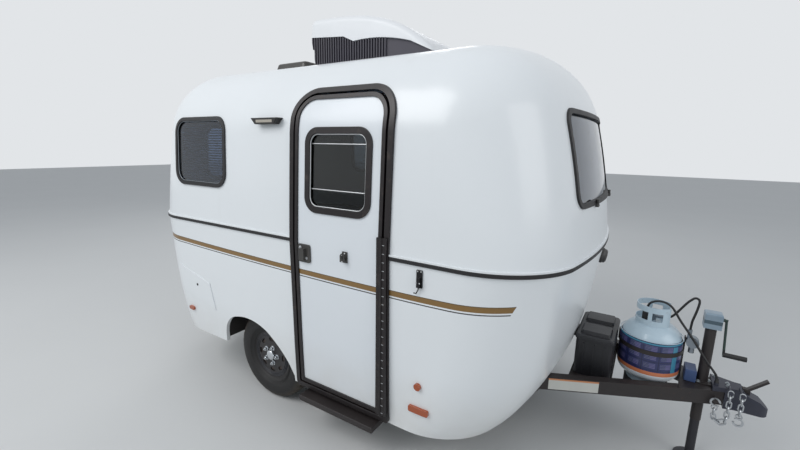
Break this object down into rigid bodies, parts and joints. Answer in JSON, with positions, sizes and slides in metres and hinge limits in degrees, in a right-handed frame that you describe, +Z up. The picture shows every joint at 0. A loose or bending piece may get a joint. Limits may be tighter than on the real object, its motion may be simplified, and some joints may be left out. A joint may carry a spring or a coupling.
{
  "type": "travel trailer",
  "caption": "Moulded glass-fibre travel trailer: rounded white cabin, hinged side door, belt moulding, roof cooler, A-frame tongue with gas bottle, battery box and jack.",
  "frame": {"origin": "on the ground, under the middle of the whole trailer's box", "axes": "+X forward to the coupler, +Y to the trailer's left, +Z up"},
  "size_m": [3.9888, 2.083, 2.5866],
  "materials": {
    "shell_white": "gloss",
    "door_white": "gloss",
    "trim_brown": "satin",
    "window_black": "satin",
    "glazing": "clear",
    "bright_trim": "satin",
    "frame_black": "satin",
    "deck_blue": "satin",
    "tyre_rubber": "matte",
    "rim_black": "satin",
    "drum_iron": "matte",
    "jack_zinc": "satin",
    "bottle_grey": "gloss",
    "battery_black": "matte",
    "cooler_white": "satin",
    "cooler_dark": "matte",
    "vent_smoke": "gloss",
    "vent_white": "satin",
    "cabinet_wood": "satin",
    "floor_board": "matte",
    "well_grey": "matte",
    "fitting_metal": "satin",
    "cord_black": "matte",
    "chain_zinc": "satin",
    "lamp_amber": "gloss",
    "lamp_red": "gloss",
    "lamp_clear": "gloss",
    "plate_blank": "satin"
  },
  "bodies": {
    "trailer": {"axle": "frame_black", "battery_box": "battery_black", "battery_lid": "battery_black", "belt_moulding": "window_black", "benches": "cabinet_wood", "bottle_bracket": "frame_black", "cabin_floor": "floor_board", "chassis": "frame_black", "cooler_body": "cooler_dark", "cooler_shroud": "cooler_white", "coupler": "frame_black", "coupler_latch": "frame_black", "dinette_table": "cabinet_wood", "door_frame": "trim_brown", "frame_hinge": "trim_brown", "gas_bottle": "bottle_grey", "gas_fittings": "fitting_metal", "gas_hose": "cord_black", "holdback_catch": "bright_trim", "jack_column": "frame_black", "jack_head": "jack_zinc", "jack_leg": "bright_trim", "junction_box": "deck_blue", "kitchen_unit": "cabinet_wood", "lead_plug": "cord_black", "lower_shell": "shell_white", "marker_lights": "lamp_amber", "number_plate": "plate_blank", "porch_light": "lamp_clear", "safety_chains": "chain_zinc", "step_runners": "frame_black", "tail_lights": "lamp_red", "tongue_deck": "deck_blue", "trailer_lead": "cord_black", "upper_shell": "shell_white", "vent_base": "vent_white", "wall_hatches": "shell_white", "wheel_wells": "well_grey", "window_frames": "window_black", "window_glass": "glazing"},
    "door": {"door_trim": "trim_brown", "door_panel": "door_white", "door_glass": "glazing", "door_hinge": "trim_brown", "door_fittings": "battery_black"},
    "right_wheel": {"tyre_right": "tyre_rubber", "rim_right": "rim_black", "hub_right": "drum_iron"},
    "left_wheel": {"tyre_left": "tyre_rubber", "rim_left": "rim_black", "hub_left": "drum_iron"},
    "roof_vent_lid": {"vent_lid": "vent_smoke"},
    "entry_step": {"step_tread": "frame_black"}
  },
  "joints": [
    {"name": "door_hinge_turn", "type": "hinge", "parent": "trailer", "child": "door", "pos_m": [0.2715, -1.035, 0.8], "axis": [0, 0, 1], "range_deg": [0, 165]},
    {"name": "right_wheel_spin", "type": "hinge", "parent": "trailer", "child": "right_wheel", "pos_m": [-0.7175, -0.848, 0.305], "axis": [0, 1, 0], "continuous": true},
    {"name": "left_wheel_spin", "type": "hinge", "parent": "trailer", "child": "left_wheel", "pos_m": [-0.7175, 0.848, 0.305], "axis": [0, 1, 0], "continuous": true},
    {"name": "vent_lid_lift", "type": "hinge", "parent": "trailer", "child": "roof_vent_lid", "pos_m": [-1.0325, 0, 2.306], "axis": [0, 1, 0], "range_deg": [0, 60]},
    {"name": "step_slide", "type": "slide", "parent": "trailer", "child": "entry_step", "axis": [0, -1, 0], "range_m": [0, 0.22]}
  ]
}
